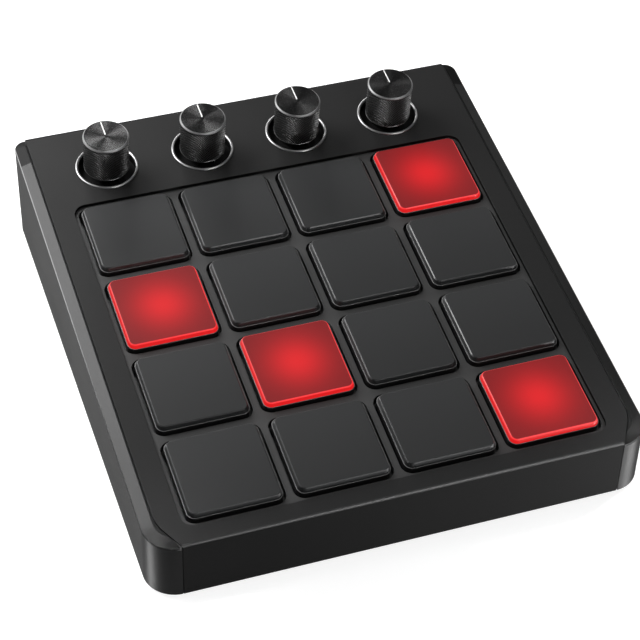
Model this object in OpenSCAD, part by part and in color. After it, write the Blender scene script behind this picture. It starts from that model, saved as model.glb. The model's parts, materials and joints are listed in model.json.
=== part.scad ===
// Desktop pad controller: a wedge-shaped case with sixteen lit pads and four knobs.
// Millimetres, +Z up, +Y to the rear. The origin is under the middle of the case, at table level.

/* [Case] */
// Slope of the top panel, in degrees
tilt = 5; // [3:0.5:8]
// Height of the front face, without the feet
front_h = 21.5; // [20:0.5:32]
// Thickness of the top cover's walls
cover_t = 1.8; // [1.5:0.1:2.2]
// Rounding of the cover's front and rear top edges
edge_r = 1.2; // [0.6:0.1:1.4]
// Width of the bevel along the cover's rear edge
rear_bevel = 1.6; // [1:0.1:2.5]
// Fall of that bevel
rear_bevel_drop = 0.55; // [0.3:0.05:0.8]
// Panel beside the pad field, up to the cheek
side_margin = 8; // [7.5:0.5:14]
// Panel between the front edge and the pad field
front_margin = 6.4; // [5.1:0.1:12]
// Panel between the pad field and the knobs' centre line
knob_margin = 15.6; // [14.8:0.1:24]
// Panel between the knobs' centre line and the rear edge
rear_margin = 20.6; // [20:0.1:34]
// Open seam between the cover and a cheek
seam = 0.3; // [0.15:0.05:0.5]
// Depth of the screw ledges inside the front and rear faces
ledge_d = 8; // [7:0.5:10]
// Thickness of the screw ledges
ledge_t = 3; // [2.5:0.5:4]

/* [Cheeks] */
// Width of a cheek, which is also the rounding of its rear corner
cheek_w = 4; // [3.5:0.5:5]
// Rounding of the front corners, seen from above
front_corner_r = 10; // [9:0.5:12]
// Slant of the seam beside the front corner, from the outer face
tip_slant = 30; // [25:1:35]
// Rounding of the seam where its slant starts
seam_bend_r = 14; // [10:1:16]
// Flat strip of the cheek beside the seam
cheek_land = 0.4; // [0.2:0.1:0.8]
// Fall of the chamfer from the seam to the outer face
chamfer_drop = 1.2; // [0.6:0.1:2]
// Width of the bright cut along the chamfer's outer edge
edge_cut = 0.25; // [0.2:0.05:0.6]
// Reach of the rail that carries the cover's edge
rail_w = 3.5; // [2.5:0.5:4]
// Thickness of that rail
rail_t = 2.5; // [2:0.5:4]
// Width of a screw boss at the foot of a cheek
boss_w = 6.5; // [6:0.5:7]
// Height of a screw boss
boss_h = 6; // [5:0.5:7]
// Distance of the screw bosses from the front and rear faces
boss_inset = 36; // [30:1:50]

/* [Pads] */
// Width of a pad's cap at its foot
pad_size = 29.4; // [24:0.1:36]
// Corner rounding of a cap, seen from above
pad_corner_r = 2.5; // [1.6:0.1:4]
// How far a cap's sides lean in, from its foot to its top
cap_lean = 0.45; // [0:0.05:0.8]
// Bevel of a cap's top edge
cap_bevel = 0.3; // [0.2:0.05:0.6]
// Thickness of a cap
cap_t = 1.5; // [1.3:0.1:2.5]
// Height of the caps over the panel
pad_rise = 1.5; // [1.5:0.1:4]
// Depth of the block under a cap that fits in its carrier
spigot_h = 1.2; // [0.8:0.1:2]
// Travel of a pad
pad_travel = 1.2; // [0.6:0.1:1.6]
// Play between a cap's block and its carrier, on each side
spigot_play = 0.15; // [0.1:0.05:0.3]
// How far a carrier stands out past its cap, on each side
carrier_reach = 0.2; // [0.1:0.05:0.3]
// Wall of a carrier
carrier_wall = 2.2; // [1.6:0.1:3]
// Width of the lip that holds a carrier under the bezel
stop_lip = 0.75; // [0.5:0.05:0.8]
// Thickness of that lip
stop_t = 1.5; // [1:0.1:2]
// Corner rounding of that lip
stop_r = 4.5; // [4.2:0.1:6]
// Play between the lip and the bezel
stop_gap = 0.3; // [0.2:0.05:0.5]

/* [Bezel] */
// Gap round a pad
pad_gap = 1.2; // [0.6:0.05:1.5]
// Width of the bezel's bars between the pads' holes
bar_w = 2.2; // [2:0.1:6]
// Border of the bezel round the outer pads
bezel_rim = 1.1; // [1:0.05:4]
// Depth of the bezel below the panel
bezel_recess = 1; // [0.5:0.1:1.3]
// Thickness of the bezel
bezel_t = 2.4; // [2.2:0.1:4]
// Width of the flange that holds the bezel under the cover
bezel_flange = 3; // [2:0.1:3]
// Play between the bezel and its opening, on each side
bezel_play = 0.15; // [0.1:0.05:0.3]
// Corner rounding of the pad field
field_corner_r = 4.2; // [3:0.1:6]
// Diameter of the bosses under the bezel's crossings
crossing_boss_d = 4; // [3.6:0.1:4.4]

/* [Boards] */
// Thickness of the circuit boards
board_t = 1.6; // [1:0.2:2]
// Thickness of the pressure film
sensor_t = 0.3; // [0.2:0.1:0.5]
// Thickness of the silicone mat
mat_t = 0.7; // [0.5:0.1:1.2]
// Height of the mat's rings
ring_h = 2.7; // [2.4:0.1:4]
// Width of a ring's wall
ring_wall = 2; // [1.5:0.1:3]
// Play between a ring and its carrier
ring_gap = 0.05; // [0.05:0.05:0.2]
// Width of the window round each lamp
window_w = 9; // [7:0.5:14]
// Width of a pad lamp
led_w = 5; // [3:0.5:6]
// Height of a pad lamp
led_h = 1.6; // [0.8:0.1:1.8]
// Rim round a pad lamp's lens
led_rim = 0.5; // [0.3:0.1:1]
// Width of the control board
control_w = 126; // [124:1:132]
// Depth of the control board in front of the knobs' centre line
control_front = 11; // [8:0.5:12]
// Side of the controller chip
chip_w = 10; // [7:0.5:14]
// Height of the chips
chip_h = 1.4; // [1:0.1:2]
// Width of the ribbon cable
ribbon_w = 18; // [10:1:30]
// Thickness of the ribbon cable
ribbon_t = 0.3; // [0.2:0.05:0.5]
// Depth of a ribbon connector
plug_d = 4; // [3:0.5:6]
// Height of a ribbon connector
plug_h = 2.4; // [2:0.2:3]
// Side wall of a ribbon connector
plug_side = 1; // [0.5:0.1:2]
// Width of the USB socket's shell
usb_w = 8.94; // [8.9:0.02:9]
// Height of the USB socket's shell
usb_h = 3.26; // [3.2:0.02:3.3]
// Length of the USB socket
usb_len = 7.4; // [6.5:0.1:9]
// Wall of the USB socket's shell
usb_wall = 0.35; // [0.25:0.05:0.4]
// Width of the USB socket's tongue
tongue_w = 6.7; // [6.6:0.05:6.8]
// Thickness of the USB socket's tongue
tongue_t = 0.7; // [0.6:0.05:0.8]
// Length of the USB socket's tongue
tongue_len = 4.4; // [4:0.1:5]
// Thickness of the USB socket's back wall
usb_back = 1.2; // [0.8:0.1:2]
// Play between the USB socket and the rear face, on each side
usb_play = 0.25; // [0.2:0.05:0.5]

/* [Knobs] */
// Distance from knob to knob
knob_pitch = 33.5; // [30:0.5:36]
// How far the knob row sits to the right of the middle; below zero, to the left
knob_shift = -2; // [-4:0.5:4]
// Diameter of a knob at its head
knob_d = 15.6; // [13:0.1:17]
// Height of a knob
knob_h = 13.6; // [11:0.1:20]
// Height of a knob's underside over the panel
knob_gap = 0.6; // [0.4:0.1:2]
// Number of ridges round the grip
knurl_count = 60; // [40:1:72]
// Depth of the knurl
knurl_depth = 0.25; // [0.15:0.05:0.4]
// How far the head stands out over the ridges
head_reach = 0.05; // [0.02:0.01:0.2]
// How far the plain ring lies inside the roots of the ridges
foot_reach = 0.1; // [0.05:0.05:0.4]
// Height of the plain ring under the grip
knob_foot = 0.8; // [0.4:0.1:1.5]
// Height of the plain head over the grip
knob_head = 0.9; // [0.7:0.1:2]
// Chamfer of the head
knob_chamfer = 0.45; // [0.2:0.05:0.6]
// Dish of the head's top face
knob_dish = 0.25; // [0.1:0.05:0.4]
// Width of the pointer groove
pointer_w = 0.7; // [0.4:0.1:1.2]
// Depth of the pointer groove at the rim
pointer_depth = 0.5; // [0.4:0.1:0.7]
// Distance of the pointer groove from the knob's axis
pointer_start = 0.6; // [0.3:0.1:2]
// Gap between a knob and its collar
well_gap = 1.9; // [1.2:0.1:2.5]
// Depth of a collar's floor below the panel
well_depth = 3; // [2.8:0.1:5]
// Thickness of a collar's floor
well_floor_t = 1.2; // [0.8:0.1:2]
// Wall of a collar
collar_wall = 0.5; // [0.4:0.05:0.8]
// Width of a collar's lip on the panel
lip_w = 0.9; // [0.8:0.05:1.4]
// Play between a collar and the cover
collar_play = 0.1; // [0.05:0.05:0.15]
// Height of a potentiometer's case
pot_h = 6.8; // [5:0.1:10]
// Width of a potentiometer's case
pot_w = 11; // [9:0.5:13]
// Diameter of a potentiometer's bushing
bushing_d = 7; // [6.8:0.1:8]
// How far the bushing stands out of its nut
bushing_proud = 0.2; // [0:0.1:0.5]
// Diameter of a potentiometer's shaft
shaft_d = 6; // [5:0.1:6]
// Length of the shaft inside the knob
shaft_grip = 8; // [6:0.5:9]
// Depth of the shaft inside the potentiometer's case
shaft_root = 3; // [2:0.5:4]
// Depth of the flat on the shaft
shaft_flat = 1.5; // [1:0.1:2]
// Height of a potentiometer's nut
nut_h = 2; // [1.5:0.1:2.2]
// Width across the flats of a potentiometer's nut
nut_w = 10; // [10:0.5:12]

/* [Base and fasteners] */
// Thickness of the base plate
base_t = 1.5; // [1.4:0.1:2.5]
// Gap round the base plate
base_gap = 0.3; // [0.2:0.1:0.6]
// Height of the feet
foot_h = 1.5; // [1:0.1:4]
// Diameter of the feet
foot_d = 12; // [8:0.5:14]
// Chamfer of the feet
foot_edge = 0.5; // [0.3:0.1:0.8]
// Distance of the feet from the sides and the ends
foot_inset = 20; // [18:0.5:26]
// Diameter of the case screws
screw_d = 3; // [2.5:0.1:3]
// Diameter of the case screws' heads
screw_head_d = 5.4; // [5:0.1:5.6]
// Distance of the cover screws from the middle
cover_screw_x = 40; // [20:1:50]
// Diameter of the board screws
board_screw_d = 2; // [1.6:0.1:2.2]
// Diameter of the board screws' heads
board_screw_head_d = 3.8; // [3.2:0.1:4.5]
// Height of the board screws' heads
board_screw_head_h = 1.4; // [1:0.1:1.8]
// Reach of a board screw in its boss
board_screw_grip = 4; // [3:0.1:4.5]
// Clearance of a screw or a shaft in its hole, on each side
fit_play = 0.05; // [0.03:0.01:0.08]

/* [Hidden] */
$fn = 48;
overrun = 2; // how far a cutting tool runs past the face that it cuts
joint_overlap = 0.2; // how deep two blocks of one piece run into each other
arc_lap = 0.002; // how far an arc runs into the line or arc beside it, so that they cross at one point
cutter_lap = 0.05; // how far a straight cutter runs into the round one beside it
pad_count = 4; // pads in a row, and rows
knob_count = 4;
lit_pads = ["r1c4", "r2c1", "r3c2", "r4c4"];

// Colours of the finishes
cover_black = [0.15, 0.15, 0.155];
cheek_grey = [0.3, 0.3, 0.31];
grid_black = [0.05, 0.05, 0.05];
cap_grey = [0.25, 0.255, 0.26];
cap_red = [0.85, 0.12, 0.13];
metal_grey = [0.7, 0.7, 0.72];
board_green = [0.05, 0.2, 0.12];
silicone_grey = [0.6, 0.6, 0.62];

// Plan of the case
hole_size = pad_size + 2 * pad_gap;
hole_r = pad_corner_r + pad_gap;
pad_pitch = hole_size + bar_w;
field_size = (pad_count - 1) * pad_pitch + hole_size + 2 * bezel_rim;
seam_x = field_size / 2 + side_margin;
case_w = 2 * (seam_x + cheek_w);
field_t = front_margin + field_size / 2;
knob_t = front_margin + field_size + knob_margin;
slope_len = knob_t + rear_margin;
case_d = slope_len * cos(tilt);
rear_corner_r = cheek_w;
chamfer_w = cheek_w - cheek_land;
flat_x = case_w / 2 - front_corner_r; // half the width of the front face
tip_x = flat_x + seam; // where the slanting seam meets the front
bend_y = (seam_x - tip_x) / tan(tip_slant) + seam_bend_r * tan(tip_slant / 2); // where its slant starts
tall = front_h + case_d; // higher than the case at any slope

// Levels of the pads, measured along the panel's normal
cap_low = pad_rise - cap_t;
bezel_top = -bezel_recess;
bezel_low = bezel_top - bezel_t;
stop_top = bezel_low - stop_gap;
stop_low = stop_top - stop_t;
ring_top = stop_low - ring_gap;
mat_top = ring_top - ring_h;
mat_low = mat_top - mat_t;
board_top = mat_low - sensor_t;
board_low = board_top - board_t;
carrier_size = pad_size + 2 * carrier_reach;
carrier_r = pad_corner_r + carrier_reach;
light_well = carrier_size - 2 * carrier_wall;
light_well_r = carrier_r / 2;
stop_size = hole_size + 2 * stop_lip;
mat_size = field_size;
boss_hole_play = 0.5; // room round a crossing boss in the mat and the film

// Levels of the knobs
well_r = knob_d / 2 + well_gap;
collar_r = well_r + collar_wall;
well_floor = -well_depth;
well_low = well_floor - well_floor_t;
control_top = well_low - pot_h;
control_low = control_top - board_t;
nut_top = well_floor + nut_h;
knob_top = knob_gap + knob_h;
shaft_top = knob_gap + shaft_grip;
bushing_top = nut_top + bushing_proud;
head_r = knob_d / 2;
ridge_r = head_r - head_reach;
root_r = ridge_r - knurl_depth;

// Rear wall and USB socket: where a level meets the rear face, along the slope
function rear_face(level) = (case_d + level * sin(tilt)) / cos(tilt);
board_edge_play = 1;
control_rear = rear_face(control_low) - cover_t / cos(tilt) - board_edge_play;
usb_mouth = rear_face(control_top) - usb_play;
usb_level = control_top + usb_h / 2;

// Base and fasteners
base_top = foot_h + base_t;
screw_head_h = (screw_head_d - screw_d) / 2;
screw_tip_gap = 0.3; // room past the tip of a screw
boss_skin = 0.6; // wall left over a screw hole in a boss
cover_screws_at = [
    for (x = [-cover_screw_x, cover_screw_x])
        for (y = [cover_t + ledge_d / 2, case_d - cover_t - ledge_d / 2]) [x, y]
];
boss_x = seam_x - boss_w / 2;
cheek_screws_at = [for (x = [-boss_x, boss_x]) for (y = [boss_inset, case_d - boss_inset]) [x, y]];
feet_at = [
    for (x = [-1, 1] * (case_w / 2 - foot_inset))
        for (y = [foot_inset, case_d - foot_inset]) [x, y]
];
crossings_at = [for (i = [-1:1]) for (j = [-1:1]) [i, j] * pad_pitch];

function pad_name(row, col) = str("r", row, "c", col);
function is_lit(row, col) = len([for (name = lit_pads) if (name == pad_name(row, col)) name]) > 0;

// Case frame: y starts at the front face
module in_case() {
    translate([0, -case_d / 2, 0]) children();
}

// Panel frame: x across, y up the slope from the front edge, z along the panel's normal
module on_panel() {
    in_case() translate([0, 0, foot_h + front_h]) rotate([tilt, 0, 0]) children();
}

module at_pad(row, col) {
    middle = (pad_count + 1) / 2;
    on_panel() translate([(col - middle) * pad_pitch, field_t + (middle - row) * pad_pitch, 0]) children();
}

module at_knob(i) {
    on_panel() translate([(i - (knob_count + 1) / 2) * knob_pitch + knob_shift, knob_t, 0]) children();
}

// Prism of a flat outline between two levels
module slab(low, high) {
    translate([0, 0, low]) linear_extrude(height = high - low) children();
}

// Prism of a side outline (depth, height) across the case
module across(width) {
    rotate([90, 0, 90]) linear_extrude(height = width, center = true) children();
}

// Prism of an upright outline (x, level) along the slope
module along_slope(start, end) {
    translate([0, end, 0]) rotate([90, 0, 0]) linear_extrude(height = end - start) children();
}

module rounded_square(size, r) {
    square([size, size - 2 * r], center = true);
    square([size - 2 * r, size], center = true);
    for (x = [-1, 1], y = [-1, 1]) translate([x, y] * (size / 2 - r)) circle(r);
}

// Slot outline with round ends
module slot_outline(width, height) {
    square([width - height, height], center = true);
    for (side = [-1, 1]) translate([side * (width - height) / 2, 0]) circle(d = height);
}

// Square block with round corners, leaning sides and a bevelled top: four corners, four sides and a core
module key_block(size, corner, height, lean, bevel) {
    core = size - 2 * corner;
    module edge_profile() {
        polygon([
            [0, 0], [corner, 0], [corner - lean, height - bevel], [corner - lean - bevel, height], [0, height]
        ]);
    }
    translate([-core / 2, -core / 2, 0]) cube([core, core, height]);
    for (turn = [0:90:270]) rotate([0, 0, turn]) {
        translate([core / 2, core / 2, 0]) rotate_extrude(angle = 90) edge_profile();
        translate([core / 2, core / 2, 0]) rotate([90, 0, 0]) linear_extrude(height = core) edge_profile();
    }
}

// Plan of the whole case
module case_plan() {
    translate([-case_w / 2, front_corner_r]) square([case_w, case_d - front_corner_r - rear_corner_r]);
    translate([-flat_x, 0]) square([2 * flat_x, front_corner_r]);
    translate([-seam_x, case_d - 2 * rear_corner_r]) square([2 * seam_x, 2 * rear_corner_r]);
    for (side = [-1, 1]) {
        translate([side * flat_x, front_corner_r]) circle(front_corner_r);
        translate([side * seam_x, case_d - rear_corner_r]) circle(rear_corner_r);
    }
}

// Plan of the cover inside the seams, shrunk by a gap and running past the front and rear faces
module cover_plan(gap) {
    panel_x = seam_x - gap;
    front_x = tip_x - gap / cos(tip_slant) - overrun * tan(tip_slant);
    bend_r = seam_bend_r - gap;
    bend = [seam_x - seam_bend_r, bend_y];
    slant = bend + [cos(tip_slant), -sin(tip_slant)] * bend_r;
    translate([-panel_x, bend_y]) square([2 * panel_x, case_d]);
    polygon([
        [-front_x, -overrun], [front_x, -overrun], slant,
        bend, [-bend[0], bend[1]], [-slant[0], slant[1]]
    ]);
    for (side = [-1, 1]) translate([side * bend[0], bend[1]]) circle(bend_r + arc_lap);
}

// Side outline of the case, with sharp edges, inset all round except at the bottom
module wedge(inset) {
    front = foot_h + front_h + inset * tan(tilt) - inset / cos(tilt);
    rear = foot_h + front_h + (case_d - inset) * tan(tilt) - inset / cos(tilt);
    low = inset > 0 ? 0 : foot_h;
    polygon([[inset, low], [case_d - inset, low], [case_d - inset, rear], [inset, front]]);
}

// Side outline of the case with its two top edges rounded
module rounded_wedge() {
    rise = [-sin(tilt), cos(tilt)] * (edge_r - arc_lap);
    drop = edge_r / cos(tilt);
    front = [edge_r, foot_h + front_h + edge_r * tan(tilt) - drop];
    rear = [case_d - edge_r, foot_h + front_h + (case_d - edge_r) * tan(tilt) - drop];
    polygon([
        [0, foot_h], [case_d, foot_h], [case_d, rear[1]], rear,
        rear + rise, front + rise, front, [0, front[1]]
    ]);
    translate(front) circle(edge_r);
    translate(rear) circle(edge_r);
}

// Ledge inside the front or rear face, for the cover screws
module ledge(start) {
    ledge_w = 2 * (flat_x - front_corner_r);
    translate([-ledge_w / 2, start, base_top]) cube([ledge_w, ledge_d + cover_t / 2, ledge_t]);
}

// Wedge that bevels the cover's rear edge
module rear_bevel_cutter() {
    fall = rear_bevel_drop / rear_bevel;
    on_panel() across(case_w) polygon([
        [slope_len - rear_bevel - overrun / fall, overrun],
        [slope_len + overrun, overrun],
        [slope_len + overrun, -fall * (rear_bevel + overrun)]
    ]);
}

module top_cover() {
    color(cover_black) difference() {
        in_case() difference() {
            union() {
                intersection() {
                    across(case_w) difference() {
                        rounded_wedge();
                        wedge(cover_t);
                    }
                    slab(0, tall) cover_plan(seam);
                }
                ledge(cover_t / 2);
                ledge(case_d - cover_t - ledge_d);
            }
            for (at = cover_screws_at) translate([at[0], at[1], 0])
                cylinder(d = screw_d + 2 * fit_play, h = base_top + ledge_t + overrun);
        }
        on_panel() translate([0, field_t, 0])
            slab(-cover_t - overrun / 2, overrun) rounded_square(field_size, field_corner_r);
        for (i = [1:knob_count]) at_knob(i)
            slab(-cover_t - overrun / 2, overrun) circle(collar_r + collar_play);
        on_panel() translate([0, 0, usb_level])
            along_slope(control_rear, usb_mouth + overrun)
                slot_outline(usb_w + 2 * usb_play, usb_h + 2 * usb_play);
        rear_bevel_cutter();
    }
}

// Cutting outline of the chamfer and its bright cut: outer is the distance of the cheek's outer face
module chamfer_outline(outer) {
    polygon([
        [outer - chamfer_w, 0],
        [outer - chamfer_w, overrun],
        [outer + overrun, overrun],
        [outer + overrun, -chamfer_drop - edge_cut - overrun],
        [outer - edge_cut, -chamfer_drop]
    ]);
}

module chamfer_cutter() {
    front = front_corner_r / cos(tilt);
    rear = (case_d - rear_corner_r) / cos(tilt);
    on_panel() {
        along_slope(front - cutter_lap, rear + cutter_lap) chamfer_outline(case_w / 2);
        translate([flat_x, front, 0]) rotate([0, 0, -90]) {
            rotate_extrude(angle = 90) chamfer_outline(front_corner_r);
            along_slope(-overrun, cutter_lap) chamfer_outline(front_corner_r);
        }
        translate([seam_x, rear, 0]) {
            rotate_extrude(angle = 90) chamfer_outline(rear_corner_r);
            rotate([0, 0, 90]) along_slope(-cutter_lap, overrun) chamfer_outline(rear_corner_r);
        }
    }
}

// Screw boss at the foot of the right cheek
module cheek_boss(y) {
    translate([boss_x, y, base_top]) {
        cylinder(d = boss_w, h = boss_h);
        translate([0, -boss_w / 2, 0]) cube([boss_w / 2 + cheek_w / 2, boss_w, boss_h]);
    }
}

module right_cheek_body() {
    rail_front = bend_y / cos(tilt);
    rail_rear = slope_len - cover_t - 2 * rear_corner_r;
    difference() {
        union() {
            in_case() intersection() {
                slab(foot_h, tall) difference() {
                    case_plan();
                    cover_plan(0);
                    translate([-case_w, -overrun]) square([case_w, case_d + 2 * overrun]);
                }
                across(2 * case_w) wedge(0);
            }
            on_panel() translate([seam_x - rail_w, rail_front, -cover_t - rail_t])
                cube([rail_w + cheek_w / 2, rail_rear - rail_front, rail_t]);
            in_case() for (y = [boss_inset, case_d - boss_inset]) cheek_boss(y);
        }
        chamfer_cutter();
        in_case() for (at = cheek_screws_at) translate([at[0], at[1], 0])
            cylinder(d = screw_d + 2 * fit_play, h = base_top + boss_h - boss_skin);
    }
}

module right_cheek() {
    color(cheek_grey) right_cheek_body();
}

module left_cheek() {
    color(cheek_grey) mirror([1, 0, 0]) right_cheek_body();
}

// Countersunk screw, head down, from the base plate's underside
module flat_screw(length) {
    cylinder(d1 = screw_head_d, d2 = screw_d, h = screw_head_h);
    cylinder(d = screw_d, h = length);
}

module base_plate() {
    inset = cover_t + base_gap;
    color(grid_black) in_case() difference() {
        slab(foot_h, base_top) intersection() {
            cover_plan(seam + base_gap);
            translate([-case_w / 2, inset]) square([case_w, case_d - 2 * inset]);
        }
        for (at = concat(cover_screws_at, cheek_screws_at)) translate([at[0], at[1], foot_h]) {
            cylinder(d1 = screw_head_d + 2 * fit_play, d2 = screw_d + 2 * fit_play, h = screw_head_h);
            translate([0, 0, -overrun]) cylinder(d = screw_d + 2 * fit_play, h = base_t + 2 * overrun);
        }
    }
}

module feet() {
    color(grid_black) in_case() for (at = feet_at) translate([at[0], at[1], 0]) {
        cylinder(d1 = foot_d - 2 * foot_edge, d2 = foot_d, h = foot_edge);
        translate([0, 0, foot_edge]) cylinder(d = foot_d, h = foot_h - foot_edge);
    }
}

module cover_screws() {
    length = base_t + ledge_t - screw_tip_gap;
    color(metal_grey) in_case()
        for (at = cover_screws_at) translate([at[0], at[1], foot_h]) flat_screw(length);
}

module cheek_screws() {
    length = base_t + boss_h - boss_skin - screw_tip_gap;
    color(metal_grey) in_case()
        for (at = cheek_screws_at) translate([at[0], at[1], foot_h]) flat_screw(length);
}

module pad_bezel() {
    color(grid_black) on_panel() translate([0, field_t, 0]) difference() {
        union() {
            slab(bezel_low, bezel_top) rounded_square(field_size - 2 * bezel_play, field_corner_r - bezel_play);
            slab(bezel_low, -cover_t)
                rounded_square(field_size + 2 * bezel_flange, field_corner_r + bezel_flange);
            for (at = crossings_at) translate(at)
                slab(board_top, bezel_low + joint_overlap) circle(d = crossing_boss_d);
        }
        for (row = [0:pad_count - 1], col = [0:pad_count - 1])
            translate([col - (pad_count - 1) / 2, row - (pad_count - 1) / 2] * pad_pitch)
                slab(bezel_low - overrun, bezel_top + overrun) rounded_square(hole_size, hole_r);
        for (at = crossings_at) translate(at)
            slab(board_top - overrun, board_top + board_screw_grip + screw_tip_gap)
                circle(d = board_screw_d + 2 * fit_play);
    }
}

module pad_cap(row, col) {
    color(is_lit(row, col) ? cap_red : cap_grey) at_pad(row, col) {
        translate([0, 0, cap_low]) key_block(pad_size, pad_corner_r, cap_t, cap_lean, cap_bevel);
        slab(cap_low - spigot_h, cap_low + joint_overlap)
            rounded_square(light_well - 2 * spigot_play, light_well_r - spigot_play);
    }
}

module pad_carrier(row, col) {
    color(grid_black) at_pad(row, col) difference() {
        union() {
            slab(stop_low, cap_low) rounded_square(carrier_size, carrier_r);
            slab(stop_low, stop_top) rounded_square(stop_size, stop_r);
        }
        slab(stop_low - overrun, cap_low + overrun) rounded_square(light_well, light_well_r);
    }
}

// Square hole round each lamp and round hole round each crossing boss, through a sheet
module sheet_holes(low, high) {
    for (row = [0:pad_count - 1], col = [0:pad_count - 1])
        translate([col - (pad_count - 1) / 2, row - (pad_count - 1) / 2] * pad_pitch)
            slab(low - overrun, high + overrun) square(window_w, center = true);
    for (at = crossings_at) translate(at)
        slab(low - overrun, high + overrun) circle(d = crossing_boss_d + 2 * boss_hole_play);
}

module spring_mat() {
    ring_size = carrier_size;
    color(silicone_grey) {
        on_panel() translate([0, field_t, 0]) difference() {
            slab(mat_low, mat_top) square(mat_size, center = true);
            sheet_holes(mat_low, mat_top);
        }
        for (row = [1:pad_count], col = [1:pad_count]) at_pad(row, col)
            slab(mat_top - joint_overlap, ring_top) difference() {
                square(ring_size, center = true);
                square(ring_size - 2 * ring_wall, center = true);
            }
    }
}

module sensor_sheet() {
    color(board_green) on_panel() translate([0, field_t, 0]) difference() {
        slab(board_top, mat_low) square(mat_size, center = true);
        sheet_holes(board_top, mat_low);
    }
}

module pad_board() {
    color(board_green) on_panel() translate([0, field_t, 0]) difference() {
        slab(board_low, board_top) square(mat_size, center = true);
        for (at = crossings_at) translate(at)
            slab(board_low - overrun, board_top + overrun) circle(d = board_screw_d + 2 * fit_play);
    }
}

module board_screws() {
    color(metal_grey) on_panel() translate([0, field_t, 0]) for (at = crossings_at) translate(at) {
        slab(board_low - board_screw_head_h, board_low) circle(d = board_screw_head_d);
        slab(board_low - joint_overlap, board_top + board_screw_grip) circle(d = board_screw_d);
    }
}

module pad_leds() {
    color(metal_grey) for (row = [1:pad_count], col = [1:pad_count]) at_pad(row, col) difference() {
        slab(board_top, board_top + led_h) square(led_w, center = true);
        slab(board_top + led_h - joint_overlap, board_top + led_h + overrun) circle(d = led_w - 2 * led_rim);
    }
}

module control_board() {
    color(board_green) on_panel() translate([-control_w / 2, knob_t - control_front, control_low])
        cube([control_w, control_rear - knob_t + control_front, board_t]);
}

// Middle of the two ribbon connectors along the slope, and the level of the cable in each
plug_rear_t = knob_t - control_front + plug_d;
plug_front_t = field_t + mat_size / 2 - plug_d;
cable_front = board_low - plug_h / 2;
cable_rear = control_low - plug_h / 2;

module board_parts() {
    color(grid_black) on_panel() {
        translate([knob_shift + knob_pitch - chip_w / 2, knob_t - chip_w / 2, control_top])
            cube([chip_w, chip_w, chip_h]);
        translate([knob_shift - knob_pitch - chip_w / 2, knob_t - chip_w / 2, control_top])
            cube([chip_w, chip_w / 2, chip_h]);
        translate([-ribbon_w / 2 - plug_side, plug_front_t - plug_d / 2, board_low - plug_h])
            cube([ribbon_w + 2 * plug_side, plug_d, plug_h]);
        translate([-ribbon_w / 2 - plug_side, plug_rear_t - plug_d / 2, control_low - plug_h])
            cube([ribbon_w + 2 * plug_side, plug_d, plug_h]);
    }
}

// Flat cable from the pad board's connector down to the control board's connector
module ribbon_cable() {
    start = plug_front_t + plug_d / 2;
    end = plug_rear_t - plug_d / 2;
    straight = (end - start) / 4;
    color(silicone_grey) on_panel() rotate([90, 0, 90])
        linear_extrude(height = ribbon_w, center = true) polygon([
            [start, cable_front], [start + straight, cable_front], [end - straight, cable_rear],
            [end, cable_rear], [end, cable_rear - ribbon_t], [end - straight, cable_rear - ribbon_t],
            [start + straight, cable_front - ribbon_t], [start, cable_front - ribbon_t]
        ]);
}

module usb_socket() {
    start = usb_mouth - usb_len;
    color(metal_grey) on_panel() translate([0, 0, usb_level]) {
        difference() {
            along_slope(start, usb_mouth) slot_outline(usb_w, usb_h);
            along_slope(start + usb_back, usb_mouth + overrun)
                slot_outline(usb_w - 2 * usb_wall, usb_h - 2 * usb_wall);
        }
        translate([-tongue_w / 2, start + usb_back / 2, -tongue_t / 2])
            cube([tongue_w, usb_back / 2 + tongue_len, tongue_t]);
    }
}

// Cup round a knob: a rounded lip on the panel, a wall and a floor
module knob_collars() {
    lip_r = lip_w / 2;
    color(metal_grey) for (i = [1:knob_count]) at_knob(i) rotate_extrude() {
        translate([well_r + lip_r, 0]) intersection() {
            circle(lip_r);
            translate([-lip_r, 0]) square([lip_w, lip_r]);
        }
        translate([well_r, well_low]) square([collar_wall, -well_low + joint_overlap]);
        translate([bushing_d / 2 + fit_play, well_low])
            square([collar_r - bushing_d / 2 - fit_play, well_floor_t]);
    }
}

module pot_bodies() {
    color(metal_grey) for (i = [1:knob_count]) at_knob(i) difference() {
        union() {
            slab(control_top, well_low) square(pot_w, center = true);
            slab(well_low - joint_overlap, bushing_top) circle(d = bushing_d);
        }
        slab(well_low - shaft_root - fit_play, bushing_top + overrun) circle(d = shaft_d + 2 * fit_play);
    }
}

module pot_nuts() {
    color(metal_grey) for (i = [1:knob_count]) at_knob(i) slab(well_floor, nut_top) difference() {
        circle(d = nut_w / cos(30), $fn = 6);
        circle(d = bushing_d + 2 * fit_play);
    }
}

// Round shaft outline with a flat on its front
module shaft_outline(d) {
    difference() {
        circle(d = d);
        translate([-d, -d - shaft_d / 2 + shaft_flat + (shaft_d - d) / 2]) square([2 * d, d]);
    }
}

module pot_shaft(i) {
    color(metal_grey) at_knob(i) {
        slab(well_low - shaft_root, knob_gap) circle(d = shaft_d);
        slab(knob_gap - joint_overlap, shaft_top) shaft_outline(shaft_d);
    }
}

// Outline of the grip: one ridge and one root for each step round
module knurl_outline() {
    polygon([
        for (step = [0:2 * knurl_count - 1])
            let (r = step % 2 == 0 ? ridge_r : root_r, angle = step * 180 / knurl_count)
                [r * cos(angle), r * sin(angle)]
    ]);
}

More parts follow.
